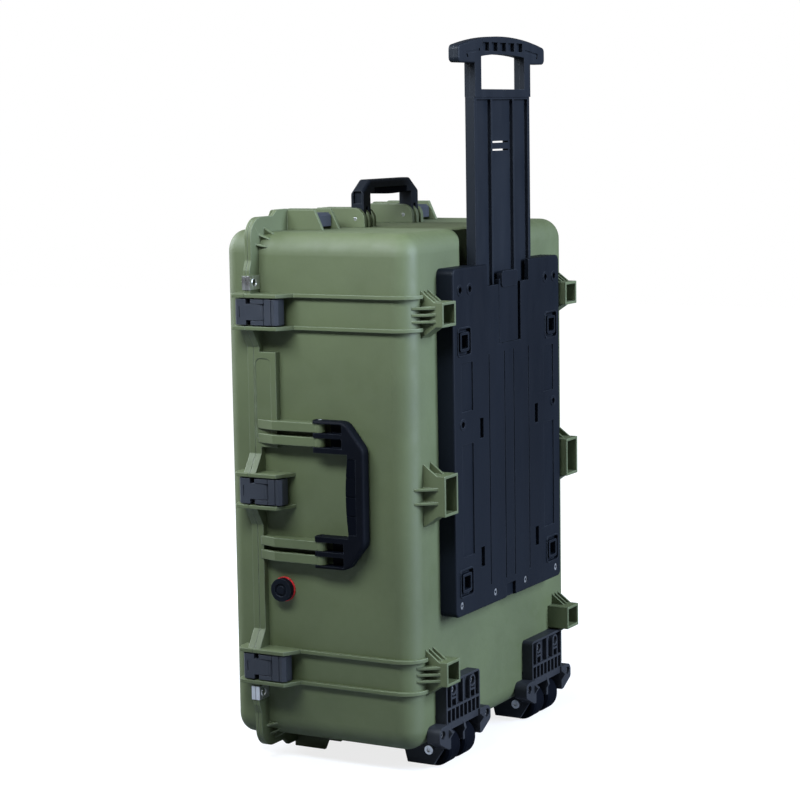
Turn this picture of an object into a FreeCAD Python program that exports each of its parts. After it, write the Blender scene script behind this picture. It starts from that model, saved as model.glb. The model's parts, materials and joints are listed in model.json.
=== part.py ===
import FreeCAD, Part
import math
import os

V = FreeCAD.Vector

# A wheeled hard case that stands on its wheel end, with its trolley handle pulled out.
# X is the depth: lid and base meet at X = 0, the lid lies towards -X and the base towards +X.
# Y is the width, with the front latches on the -Y side and the lid hinge on the +Y side.
# Z is up and is counted from the middle of the case until the pieces are saved. Lengths are in mm.

# Shells
case_height = 770.0
shell_half_width = 244.0
shell_half_height = 352.0
base_depth = 238.0
lid_depth = 52.0
lid_end_step = 3.0
wall = 5.0
shell_corner_radius = 30.0
base_edge_radius = 28.0
lid_edge_radius = 20.0
lid_panel_margin = 62.0
lid_panel_depth = 2.0
lid_panel_rib = 26.0
lid_panel_count = 3

# Clearances
parting_gap = 0.6
running_clearance = 0.05
seat_clearance = 0.02
slide_clearance = 0.4
overrun = 3.0
tiny = 0.001

# Flange round the parting plane
flange_thickness = 9.0
thin_flange_thickness = 5.2
lid_flange_thickness = 10.0
lid_thin_flange_thickness = 4.9
flange_proud = 10.0
flange_slope_proud = 26.0
flange_facet = 25.0
corner_flange_proud = 19.0
flange_corner_radius = 28.0
top_flange_proud = 21.0
bottom_flange_proud = 14.0
boss_proud = 24.0
boss_length = 34.0
boss_facet = 13.0
top_boss_proud = 29.5
bottom_boss_proud = 24.0
end_boss_length = 28.0
end_boss_facet = 12.0
gusset = 3.0
gusset_reach = 13.0
gusset_proud = 9.0
gusset_angles = (22.0, 45.0, 68.0)

# Guard ribs beside the latches
latch_station = 246.0
end_latch_station = 144.0
guard_proud = 31.0
top_guard_proud = 28.0
bottom_guard_proud = 23.0
guard_spacing = 44.0
guard_thickness = 5.0
guard_length = 50.0
end_guard_length = 49.0
guard_slope = 13.0
short_guard_length = 44.0
bead_proud = 6.0
lid_guard_length = 22.0
lid_guard_slope = 6.0
lid_guard_round = 5.0

# Latches: a lever on a pin in the guard ribs, and a hook link on trunnions in the lever
latch_width = 35.0
latch_top = 20.0
lever_cheek = 6.0
lever_pivot_x = 9.0
lever_pivot_height = 5.6
lever_nose = 5.0
lever_nose_round = 4.0
lever_end = 51.0
lever_cover_start = 31.0
lever_cover_thickness = 7.0
lever_lip_drop = 4.0
lever_floor = 1.2
lever_end_wall = 3.0
latch_pin_radius = 2.2
latch_pin_skin = 1.0
link_pivot_x = 24.0
link_pivot_height = 13.0
link_knuckle_radius = 5.5
link_plate_bottom = 9.0
link_side_gap = 0.6
link_trunnion_radius = 2.6
hook_end = 17.5
hook_head_end = 1.5
hook_lip = 4.6
hook_tip_gap = 0.4
latch_groove = 1.6
latch_groove_depth = 1.4
link_band_width = 15.0
link_band_proud = 1.2

# Padlock plates on the flange bosses
plate_thickness = 1.5
plate_height = 19.0
plate_reach = 23.0
padlock_hole_radius = 5.0
padlock_hole_inset = 9.0

# Lid hinge
hinge_station = 246.0
knuckle_radius = 8.0
lid_knuckle_length = 40.0
base_knuckle_length = 22.0
knuckle_gap = 0.6
hinge_pin_radius = 3.0

# Gasket
gasket_width = 3.4
gasket_depth = 4.5
gasket_inset = 0.8

# Tube feet on the base
foot_reach = 33.0
foot_station = 244.0
foot_inner_half = 174.0
foot_outer_half = 212.0
foot_half_height = 16.5
middle_foot_half_height = 27.5
foot_wall = 3.5
foot_fin = 3.0
foot_rib = 3.6
foot_fin_height = 17.5
foot_fin_span = 20.5
foot_collar = 10.0
foot_rib_start = 20.0
foot_rib_pitch = 9.0
middle_foot_rib_pitch = 19.0

# Name pad and pressure valve, both bare
pad_depth = 35.0
pad_low = 59.0
pad_high = 190.0
pad_margin = 9.0
pad_recess_start = 2.0
pad_recess = 1.0
pad_recess_round = 8.0
valve_x = 36.0
valve_z = -139.0
valve_radius = 16.0
valve_height = 9.0
valve_cap_radius = 9.5
valve_cap_depth = 2.0
valve_button_radius = 5.5
valve_stem_radius = 9.0
valve_ring_radius = 17.2
valve_ring_height = 2.5
valve_nut_width = 26.0
valve_nut_height = 6.0

# Front handle, folded against the side
arm_pitch = 81.0
arm_bar = 12.5
arm_bar_gap = 7.0
arm_proud = 18.0
arm_rise = 32.0
arm_round = 8.0
front_pivot_x = 104.0
front_pivot_proud = 11.0
front_pin_radius = 2.5
front_handle_start = 96.0
front_handle_end = 175.0
front_handle_half = 101.5
front_handle_thickness = 19.0
front_handle_chamfer = 28.0
front_handle_chamfer_height = 36.0
front_handle_round = 18.0
front_grip_depth = 24.0
front_handle_leg = 44.0
front_fork_depth = 119.0
front_pocket_end = 143.0
front_pocket_depth = 13.0
front_handle_edge = 4.0
front_prong_round = 5.0
grip_insert_half = 52.0
grip_insert_depth = 12.5
grip_inset = 0.8
grip_apex = 6.2
grip_bulge_radius = 400.0
grip_groove = 1.4
grip_groove_depth = 1.0
grip_groove_shares = (-0.5, 0.0, 0.5)

# Top handle, raised
top_pivot_x = 67.0
top_pivot_height = 12.0
top_pin_radius = 2.5
top_lug_inner = 53.0
top_lug = 6.4
top_lug_round = 18.0
top_lug_reach = 15.0
top_lug_rise = 15.5
top_handle_top = 66.5
top_handle_thickness = 20.0
top_handle_chamfer = 22.0
top_handle_chamfer_height = 16.0
top_handle_shoulder = 29.0
top_handle_edge = 4.5
top_foot_round = 8.0
top_grip_height = 19.5
top_insert_half = 48.0
top_insert_depth = 8.0
top_grip_apex = 4.0
top_bulge_radius = 520.0
arm_pocket_width = 13.0
arm_pocket_height = 17.5
arm_pocket_depth = 5.0

# Trolley channel, tray, mast and grip
tray_half_width = 167.0
tray_low = -176.0
tray_high = 302.0
tray_proud = 25.5
tray_corner_radius = 9.0
tray_edge = 2.5
tray_floor = 6.0
tray_notch_half = 65.0
tray_notch_depth = 30.0
channel_depth = 17.0
channel_margin = 2.5
channel_round = 14.0
mast_half_width = 86.0
mast_standoff = 5.0
mast_thickness = 14.0
mast_low = 112.0
mast_rail = 14.0
mast_lug = 4.0
mast_lug_height = 22.0
mast_panel_shares = ((0.0, 0.37), (0.42, 0.92))
mast_panel_depth = 5.0
mast_panel_stop = 3.0
mast_slit_half = 27.0
mast_slit = 2.6
mast_slit_z = 458.0
mast_slit_pitch = 11.0
trolley_travel = 222.0
tongue_half = 29.0
tongue_slot = 9.5
tongue_gap = 1.2
tongue_root = 190.0
tongue_root_gap = 0.8
tongue_tab_low = 268.0
tongue_tab_high = 290.0
tongue_tab_half = 25.0
tongue_tab_proud = 2.5
tongue_tab_round = 6.0
tongue_mast_gap = 0.8
tray_pocket_half = 20.0
tray_pocket_y = 137.0
tray_pocket_z_shares = (0.79, 0.095)
tray_pocket_rim = 2.0
tray_pocket_rim_proud = 1.2
tray_pocket_depth = 5.0
tray_pocket_round = 6.0
tray_ring_half = 13.0
tray_ring_wall = 3.5
tray_ring_proud = 1.5
tray_ring_depth = 8.0
tray_ring_round = 3.5
tray_slot_y = 87.0
tray_slot_half_width = 6.0
tray_slot_half_height = 14.0
tray_slot_z_shares = (0.53, 0.152)
tray_slot_depth = 5.0
tray_groove_y_shares = (0.087, 0.374)
tray_groove = 3.0
tray_groove_depth = 1.2
tray_groove_low_share = 0.06
tray_groove_high_share = 0.74
tray_panel_y_shares = (0.67, 0.87)
tray_panel_z_shares = (0.17, 0.729)
tray_panel_depth = 2.0
tray_panel_pad = 17.0
tray_panel_pad_low = 28.0
tray_hole_radius = 4.6
tray_hole_rim = 3.2
tray_hole_rim_proud = 1.0
tray_hole_depth = 6.0
tray_top_hole_y = (119.5, 148.0)
tray_top_hole_drop = 30.0
tray_mid_hole_z_share = 0.553
tray_mid_hole_y = 143.5
tray_screw_y = (48.0, 150.0)
tray_screw_rise = 15.0
tray_screw_head = 5.5
tray_screw_shank = 2.5
tray_screw_sink = 1.0
tray_foot_recess_half = 15.0
tray_foot_recess_height = 20.0
grip_half_width = 133.5
grip_neck_half = 86.0
grip_bottom = 577.0
grip_end_top = 600.0
grip_top = 614.0
grip_stop_gap = 7.0
grip_end_round = 7.0
grip_back = 242.5
grip_split = 250.5
grip_front = 258.8
grip_edge = 2.5
grip_hand_half = 67.0
grip_hand_low = 541.5
grip_hand_high = 586.0
grip_hand_rise = 3.5
grip_pockets = 5
grip_pocket = 19.0
grip_pocket_height = 12.0
grip_pocket_pitch = 26.0
grip_pocket_z = 599.5
grip_pocket_depth = 6.0
grip_seam_y = 62.0
grip_seam = 1.2
grip_recess_depth = 2.0
grip_recess_shares = ((0.52, 0.87), (0.84, 0.65), (0.82, 0.30), (0.78, 0.33), (0.80, 0.52), (0.52, 0.72))
grip_screw_z = 553.0

# Wheel brackets, axles and wheels
bracket_station = 135.0
bracket_half_width = 50.0
bracket_bottom = -325.0
bracket_proud = 17.0
bracket_corner = 6.0
bracket_frame = 3.0
bracket_sill = 4.6
bracket_foot_gap = 2.5
bracket_pocket_depth = 7.0
bracket_slots = 8
bracket_slot_height = 18.0
bracket_screw_y = 28.0
bracket_screw_z = -276.0
bracket_boss_radius = 8.5
bracket_rib = 2.6
bracket_cheek = 6.0
bracket_web = 5.0
ear_reach = 66.0
ear_z = -331.0
ear_radius = 10.5
ear_round = 6.0
ear_drop = 24.0
ear_proud = 20.0
screw_head_radius = 3.8
screw_shank_radius = 2.5
screw_head_height = 3.0
counterbore_radius = 6.2
counterbore_depth = 6.0
axle_x = 228.0
wheel_radius = 26.5
wheel_width = 35.0
wheel_side_gap = 3.0
wheel_arch_gap = 2.0
wheel_shoulder = 6.0
wheel_round_share = 0.3
hub_radius = 17.0
hub_recess = 5.0
sleeve_radius = 8.0
axle_radius = 4.5
axle_head_radius = 6.5
axle_head_height = 3.5
axle_socket_radius = 3.0
axle_socket_depth = 2.0
well_depth = 46.0
well_height = 43.0
well_gap = 1.0
skid_rise = 5.0
skid_back = 52.0
cheek_front = 26.0

# Worked out from the values above
case_half = case_height / 2
side_seat = shell_half_width + flange_proud
lid_half_height = shell_half_height + lid_end_step
end_seat = lid_half_height
guard_half = guard_spacing / 2
hinge_y = shell_half_width + guard_proud - knuckle_radius
mast_back = base_depth + mast_standoff
mast_front = mast_back + mast_thickness
tray_face = base_depth + tray_proud
tray_height = tray_high - tray_low
grip_shoulder = tray_high + trolley_travel + grip_stop_gap
channel_half = mast_half_width + channel_margin
foot_end = base_depth + foot_reach
axle_z = wheel_radius - case_half
bracket_top = -(foot_station + foot_half_height + bracket_foot_gap)
well_top = well_height - shell_half_height
front_pivot_y = -(shell_half_width + front_pivot_proud)
top_pivot_z = shell_half_height + top_pivot_height
case_mid_x = (foot_end - lid_depth) / 2


# Basic shapes

def box(x0, x1, y0, y1, z0, z1):
    return Part.makeBox(x1 - x0, y1 - y0, z1 - z0, V(x0, y0, z0))


def rod(radius, start, end):
    return Part.makeCylinder(radius, (end - start).Length, start, end - start)


def corner_edges(points, place):
    """Edges of a closed outline through corners (a, b) or (a, b, radius)."""
    corners = [tuple(p) + (0,) * (3 - len(p)) for p in points]
    count = len(corners)
    starts = []
    ends = []
    middles = []
    for i, (a, b, radius) in enumerate(corners):
        here = V(a, b, 0)
        back = V(corners[i - 1][0], corners[i - 1][1], 0) - here
        ahead = V(corners[(i + 1) % count][0], corners[(i + 1) % count][1], 0) - here
        back.normalize()
        ahead.normalize()
        half_angle = back.getAngle(ahead) / 2
        inward = back + ahead
        if radius:
            inward.normalize()
            reach = radius / math.tan(half_angle)
            starts.append(here + back * reach)
            ends.append(here + ahead * reach)
            middles.append(here + inward * (radius / math.sin(half_angle) - radius))
        else:
            starts.append(here)
            ends.append(here)
            middles.append(None)
    edges = []
    for i in range(count):
        if middles[i]:
            edges.append(Part.Arc(place(starts[i]), place(middles[i]), place(ends[i])).toShape())
        following = starts[(i + 1) % count]
        if (following - ends[i]).Length > tiny:
            edges.append(Part.makeLine(place(ends[i]), place(following)))
    return edges


def prism(points, place, direction):
    face = Part.Face(Part.Wire(corner_edges(points, place)))
    return face.extrude(direction)


def prism_x(points, x0, x1):
    """Outline of (y, z) corners from x0 to x1."""
    return prism(points, lambda p: V(x0, p.x, p.y), V(x1 - x0, 0, 0))


def prism_y(points, y0, y1):
    """Outline of (x, z) corners from y0 to y1."""
    return prism(points, lambda p: V(p.x, y0, p.y), V(0, y1 - y0, 0))


def prism_z(points, z0, z1):
    """Outline of (x, y) corners from z0 to z1."""
    return prism(points, lambda p: V(p.x, p.y, z0), V(0, 0, z1 - z0))


def rectangle(a0, a1, b0, b1, radius=0):
    return [(a1, b1, radius), (a0, b1, radius), (a0, b0, radius), (a1, b0, radius)]


def slab(x0, x1, half_y, half_z, radius):
    return prism_x(rectangle(-half_y, half_y, -half_z, half_z, radius), x0, x1)


def soften(shape, radius, choose):
    edges = [edge for edge in shape.Edges if all(choose(v.Point) for v in edge.Vertexes)]
    return shape.makeFillet(radius, edges)


def join(shapes):
    return shapes[0].multiFuse(shapes[1:]).removeSplitter()


def mirror_y(shape):
    return shape.mirror(V(0, 0, 0), V(0, 1, 0))


def mirror_z(shape):
    return shape.mirror(V(0, 0, 0), V(0, 0, 1))


def turned_profile(points, origin, axis_direction):
    """Ring turned about an axis along Y from an outline of (y, radius) corners."""
    face = Part.Face(Part.Wire(corner_edges(points, lambda p: origin + V(0, p.x, p.y))))
    return face.revolve(origin, axis_direction, 360)


nodes = {}


def keep(name, *solids):
    """Store a node as one solid or as a group of separate solids."""
    moved = []
    for shape in solids:
        for solid in shape.Solids:
            copy = solid.copy()
            copy.translate(V(-case_mid_x, 0, case_half))
            moved.append(copy)
    nodes[name] = moved[0] if len(moved) == 1 else Part.makeCompound(moved)


# Flange in two layers: a thin one with corners and bosses, and a thick one at the seats and the middles

def closed_outline(upper, lower):
    """Outline from the corners of its upper half and those of its lower half, which are given as if upper."""
    return upper + [(p[0], -p[1]) + tuple(p[2:]) for p in reversed(lower)]


def thin_half(level, boss_level):
    """Upper half of the thin layer as (y, z) corners, from the hinge side over the end to the front."""
    corner = -(shell_half_width + corner_flange_proud)
    boss = -(shell_half_width + boss_proud)
    seat_high = latch_station + guard_half
    outer = end_latch_station + guard_half
    inner = end_latch_station - guard_half
    half_end = [
        (outer + end_boss_length + end_boss_facet, level),
        (outer + end_boss_length, boss_level),
        (outer, boss_level),
        (outer, end_seat),
        (inner, end_seat),
        (inner, level),
    ]
    front = [
        (corner, level, flange_corner_radius),
        (corner, seat_high + boss_length + boss_facet),
        (boss, seat_high + boss_length),
        (boss, seat_high),
        (-side_seat, seat_high),
    ]
    end = half_end + [(-y, z) for y, z in reversed(half_end)]
    return [(side_seat, level, flange_corner_radius)] + end + front


def thick_half(level):
    """Upper half of the thick layer as (y, z) corners; between the seats it runs inside the shell's wall."""
    seat_high = latch_station + guard_half
    seat_low = latch_station - guard_half
    outer = end_latch_station + guard_half
    inner = end_latch_station - guard_half
    wall_y = shell_half_width - wall / 2
    wall_z = shell_half_height - wall / 2
    slope = -(shell_half_width + flange_slope_proud)
    middle = guard_half + guard_thickness / 2
    half_end = [(wall_y, seat_high), (outer, wall_z), (outer, end_seat), (inner, end_seat), (inner, level)]
    front = [
        (-side_seat, seat_high),
        (-side_seat, seat_low),
        (slope, seat_low),
        (slope, seat_low - guard_thickness / 2),
        (-side_seat, seat_low - guard_thickness / 2 - flange_facet),
        (-side_seat, middle + flange_facet),
        (slope, middle),
        (slope, guard_half),
        (-side_seat, guard_half),
    ]
    return [(side_seat, seat_high)] + half_end + [(-y, z) for y, z in reversed(half_end)] + front


def flange(edge, thin, thick, top_boss, bottom_boss):
    """Both layers from X = edge to X = thin and X = thick; bosses reach to the levels given."""
    top = shell_half_height + top_flange_proud
    bottom = shell_half_height + bottom_flange_proud
    thin_layer = closed_outline(thin_half(top, top_boss), thin_half(bottom, bottom_boss))
    thick_layer = closed_outline(thick_half(top), thick_half(bottom))
    return [prism_x(thin_layer, edge, thin), prism_x(thick_layer, edge, thick)]


def corner_gussets():
    """Small fins behind the flange at the front corners, standing square to the corner's curve."""
    root = shell_corner_radius - wall / 2
    tip = shell_corner_radius + gusset_proud
    back = thin_flange_thickness + gusset_reach
    outline = [(0, -root), (0, -tip), (thin_flange_thickness, -tip), (back, -shell_corner_radius), (back, -root)]
    fins = []
    for angle in gusset_angles:
        fin = prism_z(outline, -gusset / 2, gusset / 2)
        fin.rotate(V(0, 0, 0), V(1, 0, 0), -angle)
        fin.translate(V(0, shell_corner_radius - shell_half_width, shell_half_height - shell_corner_radius))
        fins += [fin, mirror_z(fin)]
    return fins


# Guard ribs. The outline is in (x, height above the shell wall), the same on the sides and the ends.

def guard_outline(length, height):
    end = length + guard_slope
    return [(0, -wall / 2), (0, height), (length, height), (end, 0), (end, -wall / 2)]


def long_guard_outline():
    end = guard_length + guard_slope
    return [(0, -wall / 2), (0, guard_proud), (guard_length, guard_proud), (end, bead_proud), (end, -wall / 2)]


def bead_outline():
    """Low bead that carries a long guard on along the wall and round the base's edge."""
    start = guard_length + guard_slope
    outer = base_depth + bead_proud
    return [
        (start, -wall / 2),
        (start, bead_proud),
        (outer, bead_proud, base_edge_radius + bead_proud),
        (outer, -base_edge_radius),
        (base_depth - wall / 2, -base_edge_radius),
        (base_depth - base_edge_radius, -wall / 2),
    ]


def lid_guard_outline(height):
    return [
        (-parting_gap, -wall / 2),
        (-parting_gap, height),
        (-lid_guard_length, height, lid_guard_round),
        (-lid_guard_length - lid_guard_slope, height / 2),
        (-lid_guard_length - lid_guard_slope, -wall / 2),
    ]


def side_rib(outline, z):
    points = [(p[0], -(shell_half_width + p[1])) + tuple(p[2:]) for p in outline]
    return prism_z(points, z - guard_thickness / 2, z + guard_thickness / 2)


def end_rib(outline, y):
    points = [(p[0], shell_half_height + p[1]) + tuple(p[2:]) for p in outline]
    return prism_y(points, y - guard_thickness / 2, y + guard_thickness / 2)


def front_stations():
    return (latch_station, 0, -latch_station)


def end_stations():
    return (-end_latch_station, end_latch_station)


def base_guards():
    """Guards of the base; those of the bottom end reach down to the floor."""
    short_rib = guard_outline(short_guard_length, guard_proud)
    top_rib = guard_outline(end_guard_length, top_guard_proud)
    bottom_rib = guard_outline(end_guard_length, case_half - shell_half_height)
    ribs = []
    for station in front_stations():
        for side in (-guard_half, guard_half):
            ribs.append(side_rib(long_guard_outline() if station else short_rib, station + side))
    for station in end_stations():
        for side in (-guard_half, guard_half):
            ribs.append(end_rib(top_rib, station + side))
            ribs.append(mirror_z(end_rib(bottom_rib, station + side)))
    return ribs


def lid_guards():
    ribs = []
    for station in front_stations():
        for side in (-guard_half, guard_half):
            ribs.append(side_rib(lid_guard_outline(guard_proud), station + side))
    for station in end_stations():
        for side in (-guard_half, guard_half):
            ribs.append(end_rib(lid_guard_outline(top_guard_proud), station + side))
            ribs.append(mirror_z(end_rib(lid_guard_outline(bottom_guard_proud), station + side)))
    return ribs


# Placing a latch piece. It is modelled at the middle of the front, with the seat level at Y = 0.

def latch_places():
    """Name, rotation about X in degrees and place of the seat for each latch."""
    names = ("front_upper", "front_middle", "front_lower")
    places = [(name, 0, V(0, -side_seat, z)) for name, z in zip(names, front_stations())]
    for name, y in zip(("near", "far"), end_stations()):
        places.append(("top_" + name, -90, V(0, y, end_seat)))
        places.append(("bottom_" + name, 90, V(0, y, -end_seat)))
    return places


def place_latch(shape, angle, seat):
    moved = shape.copy()
    moved.rotate(V(0, 0, 0), V(1, 0, 0), angle)
    moved.translate(seat)
    return moved


def latch_pin_bore(radius):
    reach = guard_half + guard_thickness / 2 - latch_pin_skin
    return rod(radius, V(lever_pivot_x, -lever_pivot_height, -reach), V(lever_pivot_x, -lever_pivot_height, reach))


# Feet: square tubes with ribs, fins and a wedge below

def foot(z, half_height, rib_pitch, fins):
    y0 = -foot_outer_half
    y1 = -foot_inner_half
    root = base_depth - wall / 2
    tube = box(root, foot_end, y0, y1, z - half_height, z + half_height)
    hollow = box(base_depth, foot_end + overrun, y0 + foot_wall, y1 - foot_wall,
                 z - half_height + foot_wall, z + half_height - foot_wall)
    collar = foot_end - foot_collar
    wedge_end = -(bracket_station + bracket_half_width + well_gap)
    wedge = prism_y([(root, z - half_height), (collar, z - half_height),
                     (root, z - half_height - foot_fin_height)], y0, wedge_end)
    pieces = [tube, wedge]
    for i in range(fins):
        y = y0 + foot_fin / 2 + foot_fin_span * i / (fins - 1)
        outline = [(root, z + half_height - foot_wall / 2), (collar, z + half_height - foot_wall / 2),
                   (root, z + half_height + foot_fin_height)]
        pieces.append(prism_y(outline, y - foot_fin / 2, y + foot_fin / 2))
        level = z + rib_pitch * (i - (fins - 1) / 2)
        side = [(base_depth - foot_rib_start, -(shell_half_width - wall / 2)), (collar, y0),
                (collar, y0 + foot_wall / 2), (root, y0 + foot_wall / 2)]
        pieces.append(prism_z(side, level - foot_rib / 2, level + foot_rib / 2))
    return join(pieces).cut(hollow)


def feet():
    outer = foot(foot_station, foot_half_height, foot_rib_pitch, 3)
    low = outer.copy()
    low.translate(V(0, 0, -2 * foot_station))
    middle = foot(0, middle_foot_half_height, middle_foot_rib_pitch, 2)
    near = [outer, middle, low]
    return near + [mirror_y(shape) for shape in near]


# Front handle arms and top handle lugs on the base

def bar_levels():
    """Middle of each bar above the case's middle, for one arm."""
    step = (arm_bar + arm_bar_gap) / 2
    return (arm_pitch - step, arm_pitch + step)


def handle_arms():
    top = -(shell_half_width + arm_proud)
    root = -(shell_half_width - wall / 2)
    outline = [
        (flange_thickness / 2, root),
        (flange_thickness / 2, -side_seat),
        (arm_rise, top),
        (front_pivot_x, top),
        (front_pivot_x, root),
    ]
    bars = []
    for level in bar_levels():
        bar = prism_z(outline, level - arm_bar / 2, level + arm_bar / 2)
        low = V(front_pivot_x, front_pivot_y, level - arm_bar / 2)
        high = V(front_pivot_x, front_pivot_y, level + arm_bar / 2)
        bar = bar.fuse(rod(arm_round, low, high))
        bars += [bar, mirror_z(bar)]
    return bars


def lug_starts():
    """Inner face of each of the three lugs of one arm of the top handle."""
    return [top_lug_inner + 2 * i * (top_lug + slide_clearance) for i in range(3)]


def handle_lugs():
    """Plates from the top flange to the pivot of the top handle, rounded over the pivot."""
    root = shell_half_height - wall / 2
    top = top_pivot_z + top_lug_rise
    start = flange_thickness / 2
    end = top_pivot_x + top_lug_reach
    outline = [(start, root), (start, top), (end, top, top_lug_round), (end, root)]
    lugs = []
    for y in lug_starts():
        lug = prism_y(outline, y, y + top_lug)
        lugs += [lug, mirror_y(lug)]
    return lugs


def handle_pins():
    span = arm_bar + arm_bar_gap / 2 + (arm_pitch - bar_levels()[0]) / 2
    front = rod(front_pin_radius, V(front_pivot_x, front_pivot_y, arm_pitch - span),
                V(front_pivot_x, front_pivot_y, arm_pitch + span))
    starts = lug_starts()
    top = rod(top_pin_radius, V(top_pivot_x, starts[0], top_pivot_z),
              V(top_pivot_x, starts[-1] + top_lug, top_pivot_z))
    return [front, mirror_z(front)], [top, mirror_y(top)]


# Hinge knuckles

def knuckle(z0, z1, x0, x1):
    barrel = rod(knuckle_radius, V(0, hinge_y, z0), V(0, hinge_y, z1))
    web = box(x0, x1, shell_half_width + flange_proud / 2, hinge_y, z0, z1)
    return barrel.fuse(web)


def hinge_stations():
    return (-hinge_station, 0, hinge_station)


def base_knuckles():
    inner = lid_knuckle_length / 2 + knuckle_gap
    outer = inner + base_knuckle_length
    pieces = []
    for z in hinge_stations():
        pieces.append(knuckle(z + inner, z + outer, 0, knuckle_radius))
        pieces.append(knuckle(z - outer, z - inner, 0, knuckle_radius))
    return pieces


def lid_knuckles():
    half = lid_knuckle_length / 2
    return [knuckle(z - half, z + half, -knuckle_radius, -parting_gap) for z in hinge_stations()]


def hinge_bores(radius):
    reach = lid_knuckle_length / 2 + knuckle_gap + base_knuckle_length
    return [rod(radius, V(0, hinge_y, z - reach), V(0, hinge_y, z + reach)) for z in hinge_stations()]


# Padlock holes and plates

def padlock_z():
    return latch_station + guard_half + boss_length / 2


def padlock_bore(x0, x1):
    y = -(shell_half_width + boss_proud - padlock_hole_inset)
    bore = rod(padlock_hole_radius, V(x0, y, padlock_z()), V(x1, y, padlock_z()))
    return [bore, mirror_z(bore)]


def padlock_plates(inner_x, outer_x, bore):
    """Bent plate over a boss: a strip on its edge and a leaf on its far face."""
    boss = -(shell_half_width + boss_proud)
    low = padlock_z() - plate_height / 2
    high = padlock_z() + plate_height / 2
    step = plate_thickness if outer_x > inner_x else -plate_thickness
    x0, x1 = sorted((inner_x, outer_x + step))
    strip = box(x0, x1, boss - plate_thickness, boss, low, high)
    x2, x3 = sorted((outer_x, outer_x + step))
    leaf = box(x2, x3, boss - plate_thickness, boss + plate_reach, low, high)
    plate = strip.fuse(leaf).removeSplitter()
    return [plate.cut(bore[0]), mirror_z(plate).cut(bore[1])]


# Trolley channel and wheel wells in the base

def channel_cutter():
    """Channel with rounded shoulders, cut along the base's bottom face and out through its top end."""
    floor = base_depth - channel_depth
    lip = channel_half + channel_round
    side = base_depth + overrun
    outline = [
        (floor, -channel_half),
        (base_depth - tiny, -channel_half, channel_round),
        (base_depth - tiny, -lip - overrun),
        (side, -lip - overrun),
        (side, lip + overrun),
        (base_depth - tiny, lip + overrun),
        (base_depth - tiny, channel_half, channel_round),
        (floor, channel_half),
    ]
    return prism_z(outline, tray_low + tray_floor, shell_half_height + overrun)


def channel_core():
    half = channel_half + wall
    return box(base_depth - channel_depth - wall, base_depth, -half, half,
               tray_low + tray_floor - wall, shell_half_height)


def well_box(margin):
    half = bracket_half_width + well_gap + margin
    x0 = base_depth - well_depth - margin
    return [box(x0, base_depth + overrun, y - half, y + half, -shell_half_height - overrun, well_top + margin)
            for y in (-bracket_station, bracket_station)]


def base_cavity():
    half_y = shell_half_width - wall
    half_z = shell_half_height - wall
    floor = base_depth - wall
    cavity = slab(-overrun, floor, half_y, half_z, shell_corner_radius - wall)
    cavity = soften(cavity, base_edge_radius - wall, lambda p: abs(p.x - floor) < tiny)
    return cavity.cut([channel_core()] + well_box(wall))


def base_block():
    """Outside form of the base's tub, before its channel, wells and hollow are cut."""
    block = slab(0, base_depth, shell_half_width, shell_half_height, shell_corner_radius)
    return soften(block, base_edge_radius, lambda p: abs(p.x - base_depth) < tiny)


def base_shell():
    valve_hole = rod(valve_stem_radius + seat_clearance, V(valve_x, -shell_half_width - overrun, valve_z),
                     V(valve_x, -shell_half_width + wall + overrun, valve_z))
    return base_block().cut([channel_cutter(), base_cavity(), valve_hole] + well_box(0))


def side_regions():
    """Regions round the case that meet on the corners' diagonals: front, back, and the ends in three parts each."""
    near_y = shell_half_width - shell_corner_radius
    near_z = shell_half_height - shell_corner_radius
    out_y = near_y + case_half
    out_z = near_z + case_half
    in_y = near_y - shell_corner_radius
    in_z = near_z - shell_corner_radius
    front = [(-out_y, out_z), (-in_y, in_z), (-in_y, -in_z), (-out_y, -out_z)]
    end = [(-out_y, out_z), (-top_lug_inner, out_z), (-top_lug_inner, in_z), (-in_y, in_z)]
    middle = rectangle(-top_lug_inner, top_lug_inner, in_z, out_z, 0)
    sides = both_sides(prism_x(front, -base_depth, 2 * base_depth))
    ends = both_sides(prism_x(end, -base_depth, 2 * base_depth)) + [prism_x(middle, -base_depth, 2 * base_depth)]
    return sides + ends + [mirror_z(shape) for shape in ends]


def in_regions(ring):
    return [solid for region in side_regions() for solid in ring.common(region).Solids]


def base_rim():
    """What stands out round the tub: flange, guards, name pad and knuckles, as a strip for each side."""
    pad = box(0, pad_depth, -side_seat, -(shell_half_width - wall / 2), pad_low, pad_high)
    recess_outline = rectangle(pad_recess_start, pad_depth - pad_margin, pad_low + pad_margin,
                               pad_high - pad_margin, pad_recess_round)
    recess = prism_y(recess_outline, -side_seat - overrun, -side_seat + pad_recess)
    pieces = flange(0, thin_flange_thickness, flange_thickness, shell_half_height + top_boss_proud,
                    shell_half_height + bottom_boss_proud)
    pieces += [pad] + corner_gussets() + base_guards() + base_knuckles()
    bores = hinge_bores(hinge_pin_radius + seat_clearance)
    bores += padlock_bore(-overrun, flange_thickness + overrun)
    bores += [place_latch(latch_pin_bore(latch_pin_radius + seat_clearance), angle, seat)
              for name, angle, seat in latch_places()]
    return in_regions(join(pieces).cut([base_block(), recess] + bores))


def base_beads():
    block = base_block()
    beads = []
    for level in (latch_station - guard_half, latch_station + guard_half):
        bead = side_rib(bead_outline(), level).cut(block)
        beads += [bead, mirror_z(bead)]
    return beads


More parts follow.
